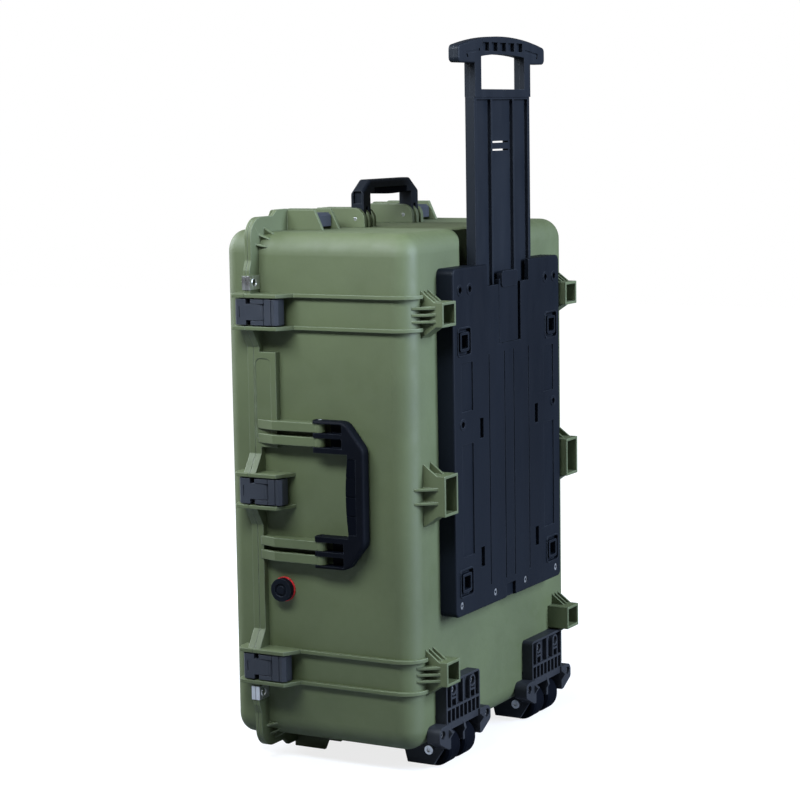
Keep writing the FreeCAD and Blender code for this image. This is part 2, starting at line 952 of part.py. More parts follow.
def handle_mounts(rim):
    """Arms of the front handle and lugs of the top handle, each a plate of its own."""
    bores = [rod(front_pin_radius + seat_clearance, V(front_pivot_x, front_pivot_y, -front_handle_half),
                 V(front_pivot_x, front_pivot_y, front_handle_half)),
             rod(top_pin_radius + seat_clearance, V(top_pivot_x, -foot_inner_half, top_pivot_z),
                 V(top_pivot_x, foot_inner_half, top_pivot_z))]
    cuts = [base_block()] + rim + bores
    return [plate.cut(cuts) for plate in handle_arms() + handle_lugs()]


def base_feet():
    block = base_block()
    return [shape.cut(block) for shape in feet()]


# Lid and gasket

def gasket_ring(width, x0, x1, margin):
    half_y = shell_half_width - gasket_inset
    half_z = lid_half_height - gasket_inset
    radius = shell_corner_radius - gasket_inset
    outer = slab(x0, x1, half_y + margin, half_z + margin, radius + margin)
    inner = slab(x0 - overrun, x1 + overrun, half_y - width - margin, half_z - width - margin,
                 radius - width - margin)
    return outer.cut(inner)


def lid_panels():
    """Shallow recessed panels on the lid's outer face, side by side along its height."""
    half_y = shell_half_width - lid_panel_margin
    span = 2 * (shell_half_height - lid_panel_margin)
    height = (span - lid_panel_rib * (lid_panel_count - 1)) / lid_panel_count
    panels = []
    for i in range(lid_panel_count):
        low = -span / 2 + i * (height + lid_panel_rib)
        panels.append(prism_x(rectangle(-half_y, half_y, low, low + height, lid_edge_radius),
                              -lid_depth - overrun, -lid_depth + lid_panel_depth))
    return panels


def lid_block():
    """Outside form of the lid's tray, before its panels and hollow are cut."""
    block = slab(-lid_depth, -parting_gap, shell_half_width, lid_half_height, shell_corner_radius)
    return soften(block, lid_edge_radius, lambda p: abs(p.x + lid_depth) < tiny)


def gasket_groove():
    return gasket_ring(gasket_width, -gasket_depth - parting_gap, overrun, 0)


def lid_shell():
    floor = -lid_depth + wall + lid_panel_depth
    cavity = slab(floor, overrun, shell_half_width - wall, lid_half_height - wall, shell_corner_radius - wall)
    cavity = soften(cavity, lid_edge_radius - wall, lambda p: abs(p.x - floor) < tiny)
    return lid_block().cut([cavity, gasket_groove()] + lid_panels())


def lid_rim():
    """What stands out round the lid: flange, guards and knuckles, as a strip for each side."""
    top = shell_half_height + top_flange_proud
    bottom = shell_half_height + bottom_flange_proud
    pieces = flange(-parting_gap, -lid_thin_flange_thickness, -lid_flange_thickness, top, bottom)
    pieces += lid_guards() + lid_knuckles()
    cuts = [lid_block(), gasket_groove()] + hinge_bores(hinge_pin_radius + running_clearance)
    cuts += padlock_bore(-lid_flange_thickness - overrun, overrun)
    return in_regions(join(pieces).cut(cuts))


# Latch pieces, at the middle of the front with the seat level at Y = 0 and outwards along -Y

def latch_prism(points, z0, z1):
    return prism_z([(p[0], -p[1]) + tuple(p[2:]) for p in points], z0, z1)


def latch_rod(radius, x, height, z0, z1):
    return rod(radius, V(x, -height, z0), V(x, -height, z1))


def latch_lever():
    half = latch_width / 2
    inner = half - lever_cheek
    nose = lever_pivot_x - lever_nose
    under = latch_top - lever_cover_thickness
    back = lever_end - lever_end_wall
    side = [
        (nose, lever_floor, lever_nose_round),
        (nose, lever_pivot_height + lever_nose),
        (lever_pivot_x, latch_top),
        (lever_end - lever_lip_drop, latch_top),
        (lever_end, latch_top - lever_lip_drop),
        (lever_end, lever_floor),
    ]
    cover = [
        (lever_cover_start, under),
        (lever_cover_start, latch_top),
        (lever_end - lever_lip_drop, latch_top),
        (lever_end, latch_top - lever_lip_drop),
        (lever_end, lever_floor),
        (back, lever_floor),
        (back, under),
    ]
    body = join([latch_prism(side, -half, -inner), latch_prism(side, inner, half),
                 latch_prism(cover, -inner - tiny, inner + tiny)])
    cuts = [latch_rod(latch_pin_radius + running_clearance, lever_pivot_x, lever_pivot_height, -half, half),
            latch_rod(link_trunnion_radius + running_clearance, link_pivot_x, link_pivot_height, -half, half)]
    for x in (link_pivot_x + link_knuckle_radius, lever_end - 2 * lever_lip_drop - latch_groove):
        cuts.append(box(x, x + latch_groove, -latch_top - overrun, -latch_top + latch_groove_depth, -half, half))
    return body.cut(cuts)


def latch_link():
    half = latch_width / 2
    inner = half - lever_cheek - link_side_gap
    head = [
        (-hook_end, hook_tip_gap),
        (-hook_end, latch_top - lever_lip_drop),
        (-hook_end + lever_lip_drop, latch_top),
        (hook_head_end, latch_top),
        (hook_head_end, link_plate_bottom),
        (-hook_end + hook_lip, link_plate_bottom),
        (-hook_end + hook_lip, hook_tip_gap),
    ]
    plate = [
        (hook_head_end - tiny, link_plate_bottom),
        (hook_head_end - tiny, latch_top),
        (link_pivot_x, latch_top - link_band_proud),
        (link_pivot_x, link_plate_bottom),
    ]
    knuckle_rod = latch_rod(link_knuckle_radius, link_pivot_x, link_pivot_height, -inner, inner)
    trunnions = latch_rod(link_trunnion_radius, link_pivot_x, link_pivot_height, -half, half)
    body = join([latch_prism(head, -half, half), latch_prism(plate, -inner, inner), knuckle_rod, trunnions])
    slot_x = -hook_end + 2 * lever_lip_drop
    slot = box(slot_x, slot_x + latch_groove, -latch_top - overrun, -latch_top + latch_groove_depth,
               -link_band_width / 2, link_band_width / 2)
    return body.cut(slot)


# Front handle in its folded place

def front_handle_outline():
    half = front_handle_half
    start = front_handle_start
    end = front_handle_end
    slope_x = end - front_handle_chamfer
    slope_z = half - front_handle_chamfer_height
    bend = front_handle_round
    return [(start, half), (slope_x, half, bend), (end, slope_z, bend),
            (end, -slope_z, bend), (slope_x, -half, bend), (start, -half)]


def front_handle():
    y0 = front_pivot_y - front_handle_thickness / 2
    y1 = y0 + front_handle_thickness
    inner_x = front_handle_end - front_grip_depth
    frame = prism_y(front_handle_outline(), y0, y1)
    opening = box(front_handle_start - overrun, inner_x, y0 - overrun, y1 + overrun,
                  -front_handle_half + front_handle_leg, front_handle_half - front_handle_leg)
    rims = [edge for edge in frame.Edges if all(v.X > front_fork_depth for v in edge.Vertexes)
            and abs(edge.Vertexes[0].Y - edge.Vertexes[-1].Y) < tiny]
    frame = frame.makeFillet(front_handle_edge, rims)
    frame = frame.cut(opening)
    section = [(front_handle_start, y0, front_prong_round), (front_handle_end + overrun, y0),
               (front_handle_end + overrun, y1), (front_handle_start, y1, front_prong_round)]
    frame = frame.common(prism_z(section, -front_handle_half, front_handle_half))
    cuts = []
    for level in bar_levels():
        gap = arm_bar / 2 + slide_clearance
        slot = box(front_handle_start - overrun, front_fork_depth, y0 - overrun, y1 + overrun,
                   level - gap, level + gap)
        pocket = box(front_fork_depth - tiny, front_pocket_end, y0 - overrun, y0 + front_pocket_depth,
                     level - gap, level + gap)
        cuts += [slot, mirror_z(slot), pocket, mirror_z(pocket)]
    bore = rod(front_pin_radius + running_clearance, V(front_pivot_x, front_pivot_y, -front_handle_half),
               V(front_pivot_x, front_pivot_y, front_handle_half))
    seat = box(inner_x - tiny, inner_x + grip_insert_depth, y0 - overrun, y1 + overrun,
               -grip_insert_half, grip_insert_half)
    return frame.cut(cuts + [bore, seat]), front_grip()


def front_grip():
    """Insert with a bulging inner side and grooves across its outer face."""
    inner_x = front_handle_end - front_grip_depth
    back_x = inner_x + grip_insert_depth
    half = grip_insert_half
    half_thick = front_handle_thickness / 2 - grip_inset
    face = front_pivot_y - half_thick
    outline = [(inner_x, -half), (inner_x - grip_apex, 0, grip_bulge_radius), (inner_x, half),
               (back_x, half), (back_x, -half)]
    grooves = []
    for share in grip_groove_shares:
        z = half * share
        grooves.append(box(inner_x - grip_apex, back_x, face - overrun, face + grip_groove_depth,
                           z - grip_groove / 2, z + grip_groove / 2))
    return prism_y(outline, face, front_pivot_y + half_thick).cut(grooves)


# Top handle in its raised place

def top_handle():
    x0 = top_pivot_x - top_handle_thickness / 2
    x1 = x0 + top_handle_thickness
    base = shell_half_height
    starts = lug_starts()
    inner = starts[0] + top_lug + slide_clearance
    outer = starts[-1] - slide_clearance
    foot_z = top_pivot_z - top_handle_thickness / 2
    high = base + top_handle_top
    low = high - top_grip_height
    slope_y = outer - top_handle_chamfer
    slope_z = high - top_handle_chamfer_height
    shoulder = base + top_handle_shoulder
    outline = [(outer, foot_z), (outer, slope_z), (slope_y, high),
               (-slope_y, high), (-outer, slope_z), (-outer, foot_z)]
    frame = prism_x(outline, x0, x1)
    frame = soften(frame, top_handle_edge, lambda p: p.z > shoulder + tiny)
    section = [(x0, foot_z, top_foot_round), (x1, foot_z, top_foot_round),
               (x1, high + overrun), (x0, high + overrun)]
    frame = frame.common(prism_y(section, -outer, outer))
    opening = box(x0 - overrun, x1 + overrun, -inner, inner, base, low)
    middle_lug = box(x0 - overrun, x1 + overrun, starts[1] - slide_clearance,
                     starts[1] + top_lug + slide_clearance, base, shoulder)
    pocket = box(top_pivot_x - arm_pocket_width / 2, top_pivot_x + arm_pocket_width / 2,
                 outer - arm_pocket_depth, outer + overrun, slope_z - arm_pocket_height, slope_z)
    bore = rod(top_pin_radius + running_clearance, V(top_pivot_x, -outer, top_pivot_z),
               V(top_pivot_x, outer, top_pivot_z))
    seat = box(x0 - overrun, x1 + overrun, -top_insert_half, top_insert_half, low - tiny, low + top_insert_depth)
    cuts = [opening, middle_lug, mirror_y(middle_lug), pocket, mirror_y(pocket), bore, seat]
    return frame.cut(cuts), top_grip(low)


def top_grip(z):
    half = top_insert_half
    half_thick = top_handle_thickness / 2 - grip_inset
    outline = [(-half, z), (0, z - top_grip_apex, top_bulge_radius), (half, z),
               (half, z + top_insert_depth), (-half, z + top_insert_depth)]
    return prism_x(outline, top_pivot_x - half_thick, top_pivot_x + half_thick)


# Valve

def valve():
    face = -shell_half_width
    ring_top = face - valve_ring_height
    disc_top = ring_top - valve_height
    centre = lambda y: V(valve_x, y, valve_z)
    disc = rod(valve_radius, centre(ring_top), centre(disc_top))
    stem = rod(valve_stem_radius, centre(ring_top), centre(face + wall + valve_nut_height))
    recess = rod(valve_cap_radius, centre(disc_top + valve_cap_depth), centre(disc_top - overrun))
    button = rod(valve_button_radius, centre(disc_top + valve_cap_depth), centre(disc_top))
    body = join([disc.cut(recess), stem, button])
    ring = rod(valve_ring_radius, centre(face), centre(ring_top))
    ring = ring.cut(rod(valve_stem_radius + seat_clearance, centre(face + overrun), centre(ring_top - overrun)))
    corners = []
    for i in range(6):
        angle = math.pi * i / 3
        reach = valve_nut_width / math.sqrt(3)
        corners.append((valve_x + reach * math.cos(angle), valve_z + reach * math.sin(angle)))
    nut_end = face + wall + valve_nut_height
    nut = prism_y(corners, face + wall, nut_end)
    nut = nut.cut(rod(valve_stem_radius + seat_clearance, centre(face), centre(nut_end + overrun)))
    return body, ring, nut


# Trolley

def tray_z(share):
    return tray_low + tray_height * share


def both_sides(shape):
    return [shape, mirror_y(shape)]


def pocket_square(z, half, radius, x0, x1):
    return prism_x(rectangle(tray_pocket_y - half, tray_pocket_y + half, z - half, z + half, radius), x0, x1)


def tray_pockets():
    """Square recesses with a rim round each and a square ring standing in it."""
    rims = []
    hollows = []
    floor = tray_face - tray_pocket_depth
    inside = tray_pocket_half - tray_pocket_rim
    inside_round = tray_pocket_round - tray_pocket_rim
    hole = tray_ring_half - tray_ring_wall
    for share in tray_pocket_z_shares:
        z = tray_z(share)
        rim = pocket_square(z, tray_pocket_half, tray_pocket_round, floor, tray_face + tray_pocket_rim_proud)
        ring = pocket_square(z, tray_ring_half, tray_ring_round, floor - overrun, tray_face + tray_ring_proud)
        rims += both_sides(rim) + both_sides(ring)
        recess = pocket_square(z, inside, inside_round, floor, tray_face + overrun)
        hollows += both_sides(recess.cut(ring))
        hollows += both_sides(pocket_square(z, hole, tray_ring_round / 2, tray_face - tray_ring_depth,
                                            tray_face + overrun))
    return rims, hollows


def tray_holes():
    holes = [(y, tray_high - tray_top_hole_drop) for y in tray_top_hole_y]
    return holes + [(tray_mid_hole_y, tray_z(tray_mid_hole_z_share))]


def tray_surface_cuts():
    face = tray_face
    cuts = []
    for share in tray_slot_z_shares:
        z = tray_z(share)
        cuts += both_sides(box(face - tray_slot_depth, face + overrun, tray_slot_y - tray_slot_half_width,
                               tray_slot_y + tray_slot_half_width, z - tray_slot_half_height,
                               z + tray_slot_half_height))
    for share in tray_groove_y_shares:
        y = tray_half_width * share
        cuts += both_sides(box(face - tray_groove_depth, face + overrun, y - tray_groove / 2, y + tray_groove / 2,
                               tray_z(tray_groove_low_share), tray_z(tray_groove_high_share)))
    y0, y1 = (tray_half_width * share for share in tray_panel_y_shares)
    z0, z1 = (tray_z(share) for share in tray_panel_z_shares)
    middle = tray_z(tray_mid_hole_z_share)
    for low, high in ((z0, middle - tray_panel_pad_low), (middle + tray_panel_pad, z1)):
        cuts += both_sides(box(face - tray_panel_depth, face + overrun, y0, y1, low, high))
    for y, z in tray_holes():
        cuts += both_sides(rod(tray_hole_radius, V(face - tray_hole_depth, y, z), V(face + overrun, y, z)))
    cuts.append(box(face - tray_slot_depth, face + overrun, -tray_foot_recess_half, tray_foot_recess_half,
                    tray_low - overrun, tray_low + tray_foot_recess_height))
    return cuts


def tray_screw_places():
    return [(side * y, tray_low + tray_screw_rise) for y in tray_screw_y for side in (-1, 1)]


def tray_screw(y, z, gap):
    """Countersunk tray screw, or the hole that takes it."""
    face = tray_face - tray_screw_sink
    head = tray_screw_head + gap
    shank = tray_screw_shank + gap
    cone = Part.makeCone(head, shank, tray_screw_head - tray_screw_shank, V(face, y, z), V(-1, 0, 0))
    stem = rod(shank, V(face, y, z), V(base_depth, y, z))
    return cone.fuse(stem).removeSplitter()


def tray():
    outline = rectangle(-tray_half_width, tray_half_width, tray_low, tray_high, tray_corner_radius)
    body = prism_x(outline, base_depth, tray_face)
    body = soften(body, tray_edge, lambda p: abs(p.x - tray_face) < tiny)
    rims, hollows = tray_pockets()
    for y, z in tray_holes():
        rims += both_sides(rod(tray_hole_radius + tray_hole_rim, V(base_depth, y, z),
                               V(tray_face + tray_hole_rim_proud, y, z)))
    body = join([body] + rims)
    side = mast_half_width + slide_clearance
    back = mast_back - slide_clearance
    front = mast_front + slide_clearance
    low = tray_low + tray_floor
    high = tray_high + overrun
    lug_top = mast_low + mast_lug_height + slide_clearance
    rail = mast_half_width - mast_rail
    notch_low = tray_high - tray_notch_depth
    cuts = [
        box(back, front, -side, side, low, high),
        box(base_depth - overrun, back + tiny, -rail, rail, low, high),
        box(back, front, -side - mast_lug, side + mast_lug, low, lug_top),
        box(front - tiny, tray_face + overrun, -tray_notch_half, tray_notch_half, notch_low, high),
        box(front - tiny, tray_face + overrun, -tongue_half - tongue_gap, tongue_half + tongue_slot,
            tongue_root - tongue_root_gap, high),
    ]
    for y, z in tray_screw_places():
        cuts.append(tray_screw(y, z, seat_clearance))
        cuts.append(rod(tray_screw_head + seat_clearance, V(tray_face - tray_screw_sink, y, z),
                        V(tray_face + overrun, y, z)))
    return body.cut(cuts + hollows + tray_surface_cuts())


def release_tongue():
    back = mast_front + tongue_mast_gap
    blade = box(back, tray_face, -tongue_half, tongue_half, tongue_root, tongue_tab_high)
    outline = rectangle(-tongue_tab_half, tongue_tab_half, tongue_tab_low, tongue_tab_high, tongue_tab_round)
    tab = prism_x(outline, back, tray_face + tongue_tab_proud)
    blade = blade.cut(box(back - overrun, tray_face + overrun, -tongue_half - overrun, tongue_half + overrun,
                          (tongue_tab_low + tongue_tab_high) / 2, tongue_tab_high + overrun))
    return blade.fuse(tab).removeSplitter()


def mast():
    body = box(mast_back, mast_front, -mast_half_width, mast_half_width, mast_low, grip_shoulder)
    lugs = box(mast_back, mast_front, -mast_half_width - mast_lug, mast_half_width + mast_lug,
               mast_low, mast_low + mast_lug_height)
    cuts = []
    for inner, outer in mast_panel_shares:
        cuts += both_sides(box(mast_front - mast_panel_depth, mast_front + overrun, mast_half_width * inner,
                               mast_half_width * outer, mast_low - overrun, grip_shoulder - mast_panel_stop))
    for level in (mast_slit_z, mast_slit_z + mast_slit_pitch):
        cuts.append(box(mast_back - overrun, mast_front + overrun, -mast_slit_half, mast_slit_half,
                        level - mast_slit / 2, level + mast_slit / 2))
    return body.fuse(lugs).removeSplitter().cut(cuts)


def grip_face(x):
    """Outline of the pull grip: arched bar, neck and shoulder, as a face in the plane X = x."""
    at = lambda y, z: V(x, y, z)
    arch = Part.Arc(at(-grip_half_width, grip_end_top), at(0, grip_top), at(grip_half_width, grip_end_top))
    corners = [
        at(grip_half_width, grip_end_top), at(grip_half_width, grip_bottom), at(grip_neck_half, grip_bottom),
        at(grip_neck_half, grip_shoulder), at(-grip_neck_half, grip_shoulder), at(-grip_neck_half, grip_bottom),
        at(-grip_half_width, grip_bottom), at(-grip_half_width, grip_end_top),
    ]
    sides = [Part.makeLine(a, b) for a, b in zip(corners, corners[1:])]
    return Part.Face(Part.Wire([arch.toShape()] + sides))


def hand_hole(x0, x1):
    at = lambda y, z: V(x0, y, z)
    arch = Part.Arc(at(-grip_hand_half, grip_hand_high), at(0, grip_hand_high + grip_hand_rise),
                    at(grip_hand_half, grip_hand_high)).toShape()
    corners = [at(grip_hand_half, grip_hand_high), at(grip_hand_half, grip_hand_low),
               at(-grip_hand_half, grip_hand_low), at(-grip_hand_half, grip_hand_high)]
    sides = [Part.makeLine(a, b) for a, b in zip(corners, corners[1:])]
    return Part.Face(Part.Wire([arch] + sides)).extrude(V(x1 - x0, 0, 0))


def grip_half(x0, x1, outer_x):
    body = grip_face(x0).extrude(V(x1 - x0, 0, 0))
    ends = [edge for edge in body.Edges
            if all(abs(abs(v.Y) - grip_half_width) < tiny for v in edge.Vertexes)
            and abs(edge.Vertexes[0].X - edge.Vertexes[-1].X) > tiny]
    body = body.makeFillet(grip_end_round, ends)
    body = soften(body, grip_edge, lambda p: abs(p.x - outer_x) < tiny and p.z > grip_bottom - tiny)
    return body.cut(hand_hole(x0 - overrun, x1 + overrun))


def grip_screw_places():
    post = (grip_hand_half + grip_neck_half) / 2
    return (-post, post)


def grip_halves():
    front = grip_half(grip_split, grip_front, grip_front)
    back = grip_half(grip_back, grip_split, grip_back)
    cuts = []
    for i in range(grip_pockets):
        y = grip_pocket_pitch * (i - (grip_pockets - 1) / 2)
        cuts.append(box(grip_front - grip_pocket_depth, grip_front + overrun, y - grip_pocket / 2,
                        y + grip_pocket / 2, grip_pocket_z - grip_pocket_height / 2,
                        grip_pocket_z + grip_pocket_height / 2))
    cuts.append(box(grip_front - grip_recess_depth, grip_front + overrun, -grip_seam_y - grip_seam,
                    -grip_seam_y, grip_pocket_z, grip_top))
    rise = grip_end_top - grip_bottom
    outline = [(grip_half_width * y, grip_bottom + rise * z) for y, z in grip_recess_shares]
    cuts += both_sides(prism_x(outline, grip_front - grip_recess_depth, grip_front + overrun))
    screws = []
    for y in grip_screw_places():
        start = V(grip_back, y, grip_screw_z)
        end = V(grip_front - grip_pocket_depth, y, grip_screw_z)
        screws.append(rod(screw_shank_radius, start, end))
        cuts.append(rod(screw_shank_radius + seat_clearance, start, end))
    return front.cut(cuts), back.cut(cuts), screws


# Wheel brackets, modelled at the middle of a bracket and moved out to its station

def bracket_plate():
    """Front plate with its row of slots, screw bosses and ribs."""
    half = bracket_half_width
    face = base_depth + bracket_proud
    floor = face - bracket_pocket_depth
    plate = prism_x([(half, bracket_top, bracket_corner), (-half, bracket_top, bracket_corner),
                     (-half, bracket_bottom), (half, bracket_bottom)], base_depth, face)
    frame = bracket_frame
    row_low = bracket_bottom + bracket_sill
    row_top = row_low + bracket_slot_height
    cuts = []
    pitch = (2 * half - frame) / bracket_slots
    for i in range(bracket_slots):
        low = -half + frame + i * pitch
        cuts.append(box(floor, face + overrun, low, low + pitch - frame, row_low, row_top))
    for side in (-1, 1):
        y0, y1 = sorted((side * frame / 2, side * (half - frame)))
        cuts.append(box(floor, face + overrun, y0, y1, row_top + frame, bracket_top - frame))
    plate = plate.cut(cuts)
    extras = []
    for y in (-bracket_screw_y, bracket_screw_y):
        extras.append(rod(bracket_boss_radius, V(base_depth, y, bracket_screw_z), V(face, y, bracket_screw_z)))
        for side in (-1, 1):
            rib = y + side * (bracket_boss_radius - bracket_rib / 2)
            extras.append(box(floor, face, rib - bracket_rib / 2, rib + bracket_rib / 2, row_top, bracket_screw_z))
        level = (row_top + bracket_screw_z) / 2
        reach = bracket_boss_radius
        extras.append(box(floor, face, y - reach, y + reach, level, level + bracket_rib))
    return [plate] + extras


def cheek_outline(grow):
    """Side of the wheel housing: it wraps the bottom edge of the case and ends in a skid."""
    skid = skid_rise - case_half
    return [
        (base_depth - well_depth + well_gap, well_top - well_gap),
        (base_depth - well_depth + well_gap, -shell_half_height - well_gap),
        (base_depth - skid_back + grow, -shell_half_height - well_gap),
        (base_depth - well_depth + well_gap + grow, skid),
        (axle_x + skid_rise, skid),
        (base_depth + cheek_front - grow, ear_z - grow),
        (base_depth + bracket_proud, bracket_bottom),
        (base_depth + bracket_proud, bracket_bottom + bracket_frame),
        (base_depth - tiny, bracket_bottom + bracket_frame),
        (base_depth - tiny, well_top - well_gap),
    ]


def bracket_ears():
    """Rounded ears at the foot of the plate, running down into the cheeks."""
    inner = bracket_half_width - bracket_cheek
    outer = ear_reach + ear_radius
    outline = [
        (inner, ear_z + ear_radius),
        (outer, ear_z + ear_radius, ear_radius),
        (outer, ear_z - ear_radius, ear_round),
        (bracket_half_width, ear_z - ear_drop),
        (inner, ear_z - ear_drop),
    ]
    return both_sides(prism_x(outline, base_depth, base_depth + ear_proud))


def bracket_screw_spots():
    """Screw places as (x of the head's seat, y, z)."""
    sink = counterbore_depth
    spots = [(base_depth + bracket_proud - sink, y, bracket_screw_z) for y in (-bracket_screw_y, bracket_screw_y)]
    return spots + [(base_depth + ear_proud - sink, y, ear_z) for y in (-ear_reach, ear_reach)]


def bracket_screw(x, y, z, gap):
    head = rod(screw_head_radius + gap, V(x, y, z), V(x + screw_head_height, y, z))
    shank = rod(screw_shank_radius + gap, V(base_depth, y, z), V(x, y, z))
    return head.fuse(shank).removeSplitter()


def wheel_bracket():
    half = bracket_half_width
    cheek = prism_y(cheek_outline(0), -half, -half + bracket_cheek)
    web = prism_y(cheek_outline(bracket_cheek), -bracket_web / 2, bracket_web / 2)
    roof = box(base_depth - well_depth + well_gap, base_depth + bracket_proud, -half, half,
               -shell_half_height - well_gap, bracket_bottom + bracket_frame)
    inner_roof = box(base_depth - well_depth + well_gap, base_depth, -half, half,
                     bracket_bottom, well_top - well_gap)
    arch_radius = wheel_radius + wheel_arch_gap
    arches = []
    for y0, y1 in ((-half + bracket_cheek, -bracket_web / 2), (bracket_web / 2, half - bracket_cheek)):
        arches.append(rod(arch_radius, V(axle_x, y0, axle_z), V(axle_x, y1, axle_z)))
        arches.append(box(axle_x, base_depth + 2 * bracket_proud, y0, y1, -case_half, axle_z + arch_radius))
    housing = join(bracket_plate() + [roof, inner_roof]).cut(arches)
    body = join([housing, cheek, mirror_y(cheek), web] + bracket_ears())
    bore = rod(axle_radius + seat_clearance, V(axle_x, -half - overrun, axle_z), V(axle_x, half + overrun, axle_z))
    holes = []
    for x, y, z in bracket_screw_spots():
        holes.append(bracket_screw(x, y, z, seat_clearance))
        holes.append(rod(counterbore_radius, V(x, y, z), V(x + counterbore_depth + overrun, y, z)))
    return body.cut([bore] + holes)


def axle():
    half = bracket_half_width
    shaft = rod(axle_radius, V(axle_x, -half, axle_z), V(axle_x, half, axle_z))
    heads = []
    for side in (-1, 1):
        start = V(axle_x, side * half, axle_z)
        end = V(axle_x, side * (half + axle_head_height), axle_z)
        head = rod(axle_head_radius, start, end)
        socket_start = V(axle_x, side * (half + axle_head_height - axle_socket_depth), axle_z)
        socket_end = V(axle_x, side * (half + axle_head_height + overrun), axle_z)
        heads.append(head.cut(rod(axle_socket_radius, socket_start, socket_end)))
    return join([shaft] + heads)


def wheel_pieces(y):
    """Tyre, hub and bearing sleeve of one wheel, turned about the axle at width y."""
    centre = V(axle_x, y, axle_z)
    half = wheel_width / 2
    turn = V(0, 1, 0)
    shoulder = half - wheel_shoulder
    side = wheel_radius - wheel_shoulder
    bend = wheel_shoulder * wheel_round_share
    curve = wheel_radius - bend
    tyre = turned_profile([(-half, hub_radius), (half, hub_radius), (half, side), (half - bend, curve),
                           (shoulder, wheel_radius), (-shoulder, wheel_radius), (bend - half, curve),
                           (-half, side)], centre, turn)
    inner = half - hub_recess
    hub = turned_profile([(-inner, sleeve_radius), (inner, sleeve_radius), (inner, hub_radius),
                          (-inner, hub_radius)], centre, turn)
    sleeve = turned_profile([(-half, axle_radius + running_clearance), (half, axle_radius + running_clearance),
                             (half, sleeve_radius), (-half, sleeve_radius)], centre, turn)
    return tyre, hub, sleeve


def moved_y(shape, y):
    copy = shape.copy()
    copy.translate(V(0, y, 0))
    return copy


# Build every node

keep("base_shell", base_shell())
rim_strips = base_rim()
keep("base_rim", *rim_strips)
keep("base_beads", *base_beads())
keep("handle_mounts", *handle_mounts(rim_strips))
keep("base_feet", *base_feet())
keep("lid_shell", lid_shell())
keep("lid_rim", *lid_rim())
keep("lid_gasket", gasket_ring(gasket_width, -gasket_depth - parting_gap, -parting_gap, -seat_clearance))
keep("lid_hinge_pins", *hinge_bores(hinge_pin_radius))

lid_bore = padlock_bore(-lid_depth, overrun)
base_bore = padlock_bore(-overrun, base_depth)
keep("padlock_plates_base", *padlock_plates(0, thin_flange_thickness, base_bore))
keep("padlock_plates_lid", *padlock_plates(-parting_gap, -lid_thin_flange_thickness, lid_bore))

lever_shape = latch_lever()
link_shape = latch_link()
pin_shape = latch_pin_bore(latch_pin_radius)
for latch_name, latch_angle, latch_seat in latch_places():
    keep("latch_lever_" + latch_name, place_latch(lever_shape, latch_angle, latch_seat))
    keep("latch_link_" + latch_name, place_latch(link_shape, latch_angle, latch_seat))
keep("latch_pins", *[place_latch(pin_shape, angle, seat) for name, angle, seat in latch_places()])

front_pin_shapes, top_pin_shapes = handle_pins()
keep("front_handle_pins", *front_pin_shapes)
keep("top_handle_pins", *top_pin_shapes)
front_frame, front_insert = front_handle()
keep("front_handle_frame", front_frame)
keep("front_handle_grip", front_insert)
top_frame, top_insert = top_handle()
keep("top_handle_frame", top_frame)
keep("top_handle_grip", top_insert)

valve_body, valve_ring, valve_nut = valve()
keep("valve_body", valve_body)
keep("valve_ring", valve_ring)
keep("valve_nut", valve_nut)

keep("trolley_tray", tray())
keep("tray_screws", *[tray_screw(y, z, 0) for y, z in tray_screw_places()])
keep("release_tongue", release_tongue())
keep("trolley_mast", mast())
grip_front_half, grip_back_half, grip_screws = grip_halves()
keep("pull_grip_front", grip_front_half)
keep("pull_grip_back", grip_back_half)
keep("pull_grip_screws", *grip_screws)

bracket_shape = wheel_bracket()
axle_shape = axle()
wheel_offset = bracket_web / 2 + wheel_side_gap + wheel_width / 2
screw_shapes = []
for side_name, station in (("near", -bracket_station), ("far", bracket_station)):
    keep("wheel_bracket_" + side_name, moved_y(bracket_shape, station))
    keep("axle_" + side_name, moved_y(axle_shape, station))
    screw_shapes += [moved_y(bracket_screw(x, y, z, 0), station) for x, y, z in bracket_screw_spots()]
    for place_name, offset in (("outer", math.copysign(wheel_offset, station)),
                               ("inner", -math.copysign(wheel_offset, station))):
        tyre, hub, sleeve = wheel_pieces(station + offset)
        keep("tyre_" + side_name + "_" + place_name, tyre)
        keep("hub_" + side_name + "_" + place_name, hub)
        keep("sleeve_" + side_name + "_" + place_name, sleeve)
keep("bracket_screws", *screw_shapes)

os.makedirs("parts", exist_ok=True)
for node_name, node_shape in nodes.items():
    node_shape.exportStep("parts/" + node_name + ".step")
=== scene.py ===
import json
import math

import bmesh
import bpy
from mathutils import Matrix, Vector


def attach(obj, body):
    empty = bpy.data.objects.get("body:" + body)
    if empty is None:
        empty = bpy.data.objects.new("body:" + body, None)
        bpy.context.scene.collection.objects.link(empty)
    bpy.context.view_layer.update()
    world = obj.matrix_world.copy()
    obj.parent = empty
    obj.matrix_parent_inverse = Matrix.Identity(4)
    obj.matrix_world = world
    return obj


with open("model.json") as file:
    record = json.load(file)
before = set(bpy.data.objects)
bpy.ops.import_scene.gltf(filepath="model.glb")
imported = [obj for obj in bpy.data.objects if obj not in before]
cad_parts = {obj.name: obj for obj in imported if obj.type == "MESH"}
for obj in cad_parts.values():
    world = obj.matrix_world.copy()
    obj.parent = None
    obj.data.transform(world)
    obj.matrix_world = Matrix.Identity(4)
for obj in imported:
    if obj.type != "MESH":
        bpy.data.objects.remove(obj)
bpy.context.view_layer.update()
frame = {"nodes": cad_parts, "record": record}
nodes = frame["nodes"]
MM = 0.001

